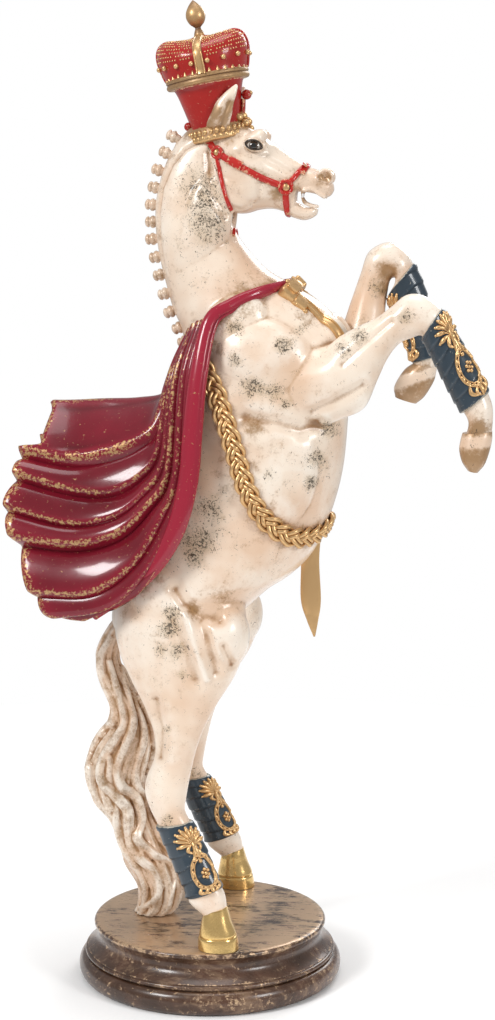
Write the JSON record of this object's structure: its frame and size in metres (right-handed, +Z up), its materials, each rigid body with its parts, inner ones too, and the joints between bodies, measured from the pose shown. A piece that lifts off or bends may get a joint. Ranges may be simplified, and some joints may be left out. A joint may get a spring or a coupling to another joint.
{
  "type": "rearing horse statuette",
  "caption": "Rearing horse figure with a crown, a spread cape, a plaited girth and wrapped legs, standing on its hind feet and tail on a turned round plinth.",
  "frame": {"origin": "centre of the plinth's underside", "axes": "+Z up through the plinth's centre; +X the way the horse faces; the horse's right side towards -Y"},
  "size_m": [0.2398, 0.1376, 0.5002],
  "materials": {
    "ivory_lacquer": "glossy ivory lacquer on cast resin, brown patina in the creases and dark speckle",
    "crimson_lacquer": "glossy crimson lacquer, gold rubbed on the ridges",
    "scarlet_lacquer": "satin scarlet lacquer",
    "slate_blue_lacquer": "satin slate-blue lacquer, gold rubbed on the edges",
    "antique_gold": "antique gold paint, brown in the hollows",
    "bright_gold": "bright burnished gold paint",
    "eye_black": "glossy black paint",
    "bronzed_brown": "dark brown lacquer with gold rubbed on"
  },
  "bodies": {
    "root": {"horse_figure": "ivory_lacquer", "plinth": "bronzed_brown"}
  },
  "joints": []
}
